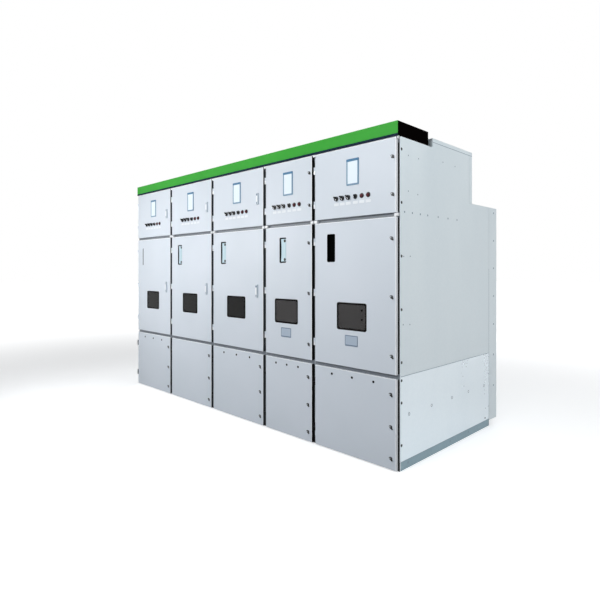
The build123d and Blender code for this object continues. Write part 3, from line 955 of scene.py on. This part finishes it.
def panel_seams():
    panel_low, panel_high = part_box("lower_side_panels")
    cap_low, cap_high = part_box("bus_chamber_cap")
    panel_depth = panel_high.y - panel_low.y
    panel_middle = (panel_low.y + panel_high.y) / 2
    cap_middle = (cap_low.y + cap_high.y) / 2
    low, high = REAR_SEAM_LEVELS
    seams = [
        (panel_middle, panel_high.z + 0.001, rectangle(panel_depth, SEAM_WIDTH)),
        (panel_middle, panel_low.z, rectangle(panel_depth, SEAM_WIDTH)),
        (panel_high.y, (low + high) / 2, rectangle(SEAM_WIDTH, high - low)),
        (cap_middle, cap_low.z + 0.0045, rectangle(cap_high.y - cap_low.y - 0.004, SEAM_WIDTH)),
    ]
    mesh = bmesh.new()
    for side, facing in ((1, "right"), (-1, "left")):
        for y, level, outline in seams:
            place = local_frame((side * HALF_LENGTH, y, level), facing)
            add_prism(mesh, place, outline, SEAM_SUNK, SEAM_RISE)
    make_piece("panel_seams", mesh, [fastener_grey], "housing")


# Painted shade: dark sleeves over the hinges of the cable doors, where the hinges lie in shade

SLEEVE_RADIUS = 0.0082
SLEEVE_REACH = 0.030
SLEEVE_BORE = 0.0072
BORE_DEPTH = 0.0280
CABLE_HINGE_FROM_END = 0.135
HINGE_AXIS_DEPTH = 0.003


def hinge_shade_sleeves():
    fixed = bmesh.new()
    for number in CUBICLES:
        left, right, bottom, top = door_sheet("cable_door", number)
        moving = bmesh.new()
        for level in (bottom + CABLE_HINGE_FROM_END, top - CABLE_HINGE_FROM_END):
            axis = local_frame((left - HINGE_OFFSET, DOOR_FRONT + HINGE_AXIS_DEPTH, level), "top")
            for mesh, way in ((moving, 1), (fixed, -1)):
                add_lathe(mesh, axis, [
                    (0, way * SLEEVE_REACH),
                    (0.8 * SLEEVE_RADIUS, way * SLEEVE_REACH),
                    (SLEEVE_RADIUS, way * (SLEEVE_REACH - 0.0015)),
                    (SLEEVE_RADIUS, way * 0.0004),
                    (SLEEVE_BORE, way * 0.0004),
                    (SLEEVE_BORE, way * BORE_DEPTH),
                ], 24)
        make_piece(f"hinge_shade_sleeves_{number}", moving, [black_rubber], f"cable_door_{number}")
    make_piece("fixed_hinge_sleeves", fixed, [black_rubber], "housing")


# Fasteners of the housing

FRONT_SCREW_DEPTH = 0.048
FRONT_SCREW_LEVELS = (2.224, 1.855, 1.484, 1.114, 0.748, 0.623, 0.469, 0.175)
RIVET_LEVEL = 1.793
RIVET_DEPTHS = (0.085, 0.185, 0.291, 0.393, 0.546, 0.698, 0.845)
PANEL_SCREWS = (
    (0.132, 2.194), (0.267, 2.192), (0.618, 2.223), (0.812, 2.220), (0.132, 1.943), (0.257, 1.932),
    (0.075, 1.483), (0.156, 1.485), (0.068, 1.008), (0.152, 1.003),
)
REAR_BOLT_DEPTH = 1.536
REAR_BOLT_LEVELS = (1.906, 1.655, 1.407, 1.154, 0.900, 0.624, 0.345)
LOWER_SCREWS = ((1.425, 0.617), (1.425, 0.465), (1.425, 0.176))
LIFTING_PLUG_LEVEL = 0.374
LIFTING_PLUG_DEPTHS = (0.142, 0.450, 0.762, 1.044, 1.337)
DARK_PLUG = (1.361, 0.084)
BASE_BOLT_LEVEL = 0.036
BASE_BOLT_DEPTHS = (0.129, 0.733, 1.044)


def add_hex_bolt(mesh, place, size):
    """A flanged hexagon head."""
    radius = size / 2
    flange = [(1.5 * radius, 0), (1.5 * radius, 0.0008), (1.1 * radius, 0.0016), (0, 0.0016)]
    add_lathe(mesh, place, flange, 28, 0)
    add_prism(mesh, place, polygon(1.1 * radius, 6), 0.0014, 0.0058, 0)
    add_lathe(mesh, place, [(0.85 * radius, 0.0058), (0.7 * radius, 0.0064), (0, 0.0064)], 24, 0)


def add_pan_screw(mesh, place, radius=0.005):
    """A pan head with a crossed recess."""
    head = [(radius, 0), (radius, 0.0012), (0.8 * radius, 0.0026), (0.4 * radius, 0.0031), (0, 0.0031)]
    add_lathe(mesh, place, head, 24, 0)
    for turn in (0, math.pi / 2):
        turned = place @ Matrix.Rotation(turn + math.pi / 4, 4, "Z")
        add_prism(mesh, turned, rectangle(0.9 * radius, 0.22 * radius), 0.0029, 0.00325, 1)


def add_rivet(mesh, place, radius):
    head = [
        (radius, 0), (0.86 * radius, 0.0009), (0.5 * radius, 0.0015), (0.24 * radius, 0.0016), (0, 0.0012),
    ]
    add_lathe(mesh, place, head, 20, 0)


def add_ring_plug(mesh, place):
    """A plated ring round a hole plug whose white centre is a painted highlight."""
    add_lathe(mesh, place, [(0.012, 0), (0.012, 0.0020), (0.0100, 0.0036), (0.0070, 0.0028)], 28, 0)
    add_lathe(mesh, place, [(0.0070, 0.0028), (0.0066, 0.0018), (0, 0.0018)], 28, 1)


FLUSH = Matrix.Diagonal((1, 1, 0.12, 1))


def end_place(side, depth, level):
    """Low heads, because nothing stands out of the row's own box."""
    facing = "right" if side > 0 else "left"
    return local_frame((side * HALF_LENGTH, DOOR_FRONT + depth, level), facing) @ FLUSH


def end_fasteners(side, name):
    """Everything that is screwed or riveted to one end of the row."""
    screws = bmesh.new()
    front_screws = bmesh.new()
    for level in FRONT_SCREW_LEVELS:
        add_hex_bolt(front_screws, end_place(side, FRONT_SCREW_DEPTH, level), 0.014)
    make_piece(f"{name}_end_front_screws", front_screws, [blued_steel], "housing")
    for depth, level in PANEL_SCREWS + LOWER_SCREWS:
        add_pan_screw(screws, end_place(side, depth, level))
    for level in REAR_BOLT_LEVELS:
        add_hex_bolt(screws, end_place(side, REAR_BOLT_DEPTH, level), 0.011)
    for depth in BASE_BOLT_DEPTHS:
        add_hex_bolt(screws, end_place(side, depth, BASE_BOLT_LEVEL), 0.012)
    make_piece(f"{name}_end_screws", screws, [fastener_grey, black_plastic], "housing")
    rivets = bmesh.new()
    for depth in RIVET_DEPTHS:
        add_rivet(rivets, end_place(side, depth, RIVET_LEVEL), 0.0075)
    make_piece(f"{name}_end_rivets", rivets, [fastener_grey], "housing")
    plugs = bmesh.new()
    for depth in LIFTING_PLUG_DEPTHS:
        add_ring_plug(plugs, end_place(side, depth, LIFTING_PLUG_LEVEL))
    make_piece(f"{name}_end_plugs", plugs, [fastener_grey, highlight_white], "housing")
    dark_plug = bmesh.new()
    dome = [(0.009, 0), (0.009, 0.002), (0.007, 0.004), (0, 0.005)]
    add_lathe(dark_plug, end_place(side, *DARK_PLUG), dome, 24)
    make_piece(f"{name}_end_dark_plug", dark_plug, [blued_steel], "housing")


COVER_SCREW_INSET = 0.020
COVER_SCREW_SIZE = 0.010
COVER_SCREW_ROWS = 6
LOWER_COVER_ROWS = 3
COVER_END_MARGIN = 0.05
UPPER_COVER_START = 0.70
LOWER_COVER_END = 0.60
HINGE_INSET = 0.024


def evenly(low, high, count):
    return [low + (high - low) * step / (count - 1) for step in range(count)]


def cover_screws():
    """Screws down both edges of each rear cover."""
    cover_low, cover_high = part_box("rear_covers")
    levels = evenly(UPPER_COVER_START, cover_high.z - COVER_END_MARGIN, COVER_SCREW_ROWS)
    levels += evenly(cover_low.z + COVER_END_MARGIN, LOWER_COVER_END, LOWER_COVER_ROWS)
    mesh = bmesh.new()
    for number in CUBICLES:
        left, right, _, _ = door_sheet("cable_door", number)
        first = left - HINGE_INSET + COVER_SCREW_INSET
        last = right + LATCH_INSET - COVER_SCREW_INSET
        for x in (first, last):
            for level in levels:
                place = local_frame((x, cover_high.y, level), "back") @ FLUSH
                add_hex_bolt(mesh, place, COVER_SCREW_SIZE)
    make_piece("rear_cover_screws", mesh, [zinc_plate], "housing")


LID_SCREW_COUNT = 20
LID_SCREW_RADIUS = 0.006
LID_EDGE_INSET = 0.03
LID_END_INSET = 0.10


def roof_screws():
    """Screws along both long edges of the raised chamber's lid."""
    low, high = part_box("bus_chamber_cap")
    mesh = bmesh.new()
    for y in (low.y + LID_EDGE_INSET, high.y - LID_EDGE_INSET):
        for x in evenly(low.x + LID_END_INSET, high.x - LID_END_INSET, LID_SCREW_COUNT):
            add_pan_screw(mesh, local_frame((x, y, high.z), "top"), LID_SCREW_RADIUS)
    make_piece("chamber_lid_screws", mesh, [zinc_plate, black_plastic], "housing")


for number in CUBICLES:
    for kind in LOCK_PLACES:
        if number in LOCKED_CUBICLES[kind]:
            door_locks(kind, number)
        highlight_lines(kind, number)
        if number < len(CUBICLES):
            edge_shade_strip(kind, number)
    display_face(number)
    control_devices(number)
    tag_plates(number)
    window_seal(number)
    for kind in ("instrument", "breaker"):
        if f"{kind}_latch_{number}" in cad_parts:
            latch_trim(kind, number)
    if f"operating_handle_{number}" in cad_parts:
        operating_handle(number)
    if f"handle_recess_{number}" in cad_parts:
        empty_recess_floor(number)
    if number in PLATED_CUBICLES:
        bare_plate(number)
    if number in PLUGGED_CUBICLES:
        cable_door_plugs(number)
handle_line(1)
pane_studs(5)
door_seals()
fascia_shadow_band()
gap_highlight_caps()
corner_covers()
panel_seams()
hinge_shade_sleeves()
end_fasteners(1, "right")
end_fasteners(-1, "left")
cover_screws()
roof_screws()


# Camera, floor, backdrop and lights

FLOOR_HALF_SIZE = 60
NEAR_GLOW = 0.45
FAR_GLOW = 1.0
NEAR_GLOW_REACH = 3.0
FAR_GLOW_START = 9.0
AMBIENT_LIGHT = 0.12
ZENITH_REFLECTION = (0.62, 0.68, 0.72)


def make_camera():
    data = bpy.data.cameras.new("photo_camera")
    data.sensor_width = SENSOR_WIDTH
    data.lens = FOCAL_PIXELS / PHOTO_WIDTH * SENSOR_WIDTH
    data.shift_x = (PHOTO_WIDTH / 2 - CENTRE_PIXEL[0]) / PHOTO_WIDTH
    data.shift_y = (CENTRE_PIXEL[1] - PHOTO_WIDTH / 2) / PHOTO_WIDTH
    camera = bpy.data.objects.new("photo_camera", data)
    camera.location = (HALF_LENGTH + CAMERA_RIGHT_OF_ROW, DOOR_FRONT - CAMERA_BEFORE_DOORS, CAMERA_HEIGHT)
    camera.rotation_euler = (math.radians(90), 0, math.radians(CAMERA_TURN))
    bpy.context.scene.collection.objects.link(camera)
    bpy.context.scene.camera = camera


def seen_directly(nodes, links):
    """A factor of 1 for camera, glossy and transmission rays, and 0 for light that bounces diffusely."""
    rays = nodes.new("ShaderNodeLightPath")
    total = rays.outputs["Is Camera Ray"]
    for kind in ("Is Glossy Ray", "Is Transmission Ray"):
        larger = nodes.new("ShaderNodeMath")
        larger.operation = "MAXIMUM"
        links.new(total, larger.inputs[0])
        links.new(rays.outputs[kind], larger.inputs[1])
        total = larger.outputs["Value"]
    return total


def make_floor():
    """A pale floor: it glows white far off, and keeps the object's shadow near it."""
    mesh = bmesh.new()
    add_prism(mesh, Matrix.Identity(4), rectangle(2 * FLOOR_HALF_SIZE, 2 * FLOOR_HALF_SIZE), -0.02, 0)
    data = bpy.data.meshes.new("floor")
    mesh.to_mesh(data)
    mesh.free()
    paint = new_material("floor_white", (0.80, 0.81, 0.82), 0.9)
    shader_of(paint).inputs["Specular IOR Level"].default_value = 0.0
    shader_of(paint).inputs["Emission Color"].default_value = (1, 1, 1, 1)
    seen = seen_directly(paint.node_tree.nodes, paint.node_tree.links)
    tone = add_node(paint, "ShaderNodeMix", data_type="RGBA")
    tone.inputs[6].default_value = (0.30, 0.32, 0.34, 1)
    tone.inputs[7].default_value = (0.80, 0.81, 0.82, 1)
    link(paint, seen, tone.inputs[0])
    link(paint, tone.outputs[2], shader_of(paint).inputs["Base Color"])
    coordinates = add_node(paint, "ShaderNodeTexCoord")
    distance = add_node(paint, "ShaderNodeVectorMath", operation="LENGTH")
    link(paint, coordinates.outputs["Object"], distance.inputs[0])
    glow = add_node(paint, "ShaderNodeMapRange", interpolation_type="SMOOTHSTEP")
    glow.inputs["From Min"].default_value = NEAR_GLOW_REACH
    glow.inputs["From Max"].default_value = FAR_GLOW_START
    glow.inputs["To Min"].default_value = NEAR_GLOW
    glow.inputs["To Max"].default_value = FAR_GLOW
    link(paint, distance.outputs["Value"], glow.inputs["Value"])
    seen_glow = add_node(paint, "ShaderNodeMath", operation="MULTIPLY")
    link(paint, glow.outputs["Result"], seen_glow.inputs[0])
    link(paint, seen, seen_glow.inputs[1])
    link(paint, seen_glow.outputs["Value"], shader_of(paint).inputs["Emission Strength"])
    data.materials.append(paint)
    floor = bpy.data.objects.new("floor", data)
    bpy.context.scene.collection.objects.link(floor)


def make_world():
    """White behind the object, a weak soft light all round, and reflections white low and grey high up."""
    world = bpy.data.worlds.new("studio")
    world.use_nodes = True
    bpy.context.scene.world = world
    nodes = world.node_tree.nodes
    links = world.node_tree.links
    nodes.clear()

    def background(colour, strength):
        node = nodes.new("ShaderNodeBackground")
        node.inputs["Color"].default_value = (*colour, 1)
        node.inputs["Strength"].default_value = strength
        return node

    def mixed(factor, first, second):
        node = nodes.new("ShaderNodeMixShader")
        links.new(factor, node.inputs["Fac"])
        links.new(first, node.inputs[1])
        links.new(second, node.inputs[2])
        return node.outputs[0]

    direction = nodes.new("ShaderNodeTexCoord")
    separate = nodes.new("ShaderNodeSeparateXYZ")
    links.new(direction.outputs["Generated"], separate.inputs["Vector"])
    ramp = nodes.new("ShaderNodeValToRGB")
    ramp.color_ramp.elements[0].position = 0.03
    ramp.color_ramp.elements[0].color = (1, 1, 1, 1)
    ramp.color_ramp.elements[1].position = 0.30
    ramp.color_ramp.elements[1].color = (*ZENITH_REFLECTION, 1)
    links.new(separate.outputs["Z"], ramp.inputs["Fac"])
    rays = nodes.new("ShaderNodeLightPath")
    soft = background((0.90, 0.95, 1.0), AMBIENT_LIGHT)
    mirrored = background((1, 1, 1), 1.0)
    links.new(ramp.outputs["Color"], mirrored.inputs["Color"])
    white = background((1, 1, 1), 1.0)
    reflected = mixed(rays.outputs["Is Glossy Ray"], soft.outputs[0], mirrored.outputs[0])
    through_glass = mixed(rays.outputs["Is Transmission Ray"], reflected, mirrored.outputs[0])
    surface = mixed(rays.outputs["Is Camera Ray"], through_glass, white.outputs[0])
    output = nodes.new("ShaderNodeOutputWorld")
    links.new(surface, output.inputs["Surface"])


def area_light(name, location, target, size, power):
    data = bpy.data.lights.new(name, "AREA")
    data.shape = "RECTANGLE"
    data.size = size[0]
    data.size_y = size[1]
    data.energy = power
    light = bpy.data.objects.new(name, data)
    light.location = location
    direction = Vector(target) - Vector(location)
    light.rotation_euler = direction.to_track_quat("-Z", "Y").to_euler()
    bpy.context.scene.collection.objects.link(light)


make_camera()
make_floor()
make_world()
area_light("left_light", (-1.6, -2.65, 1.8), (-1.3, -0.8, 1.5), (1.5, 1.5), 31)
area_light("front_light", (1.7, -4.0, 3.0), (1.7, -0.8, 2.0), (4.5, 1.5), 124)
area_light("right_light", (5.8, 0.5, 3.8), (1.9, 0, 1.3), (4, 3), 98)
area_light("back_light", (-1.0, 6.0, 4.0), (0, 0.8, 1.2), (5, 3), 150)
bpy.context.scene.view_settings.view_transform = "Standard"
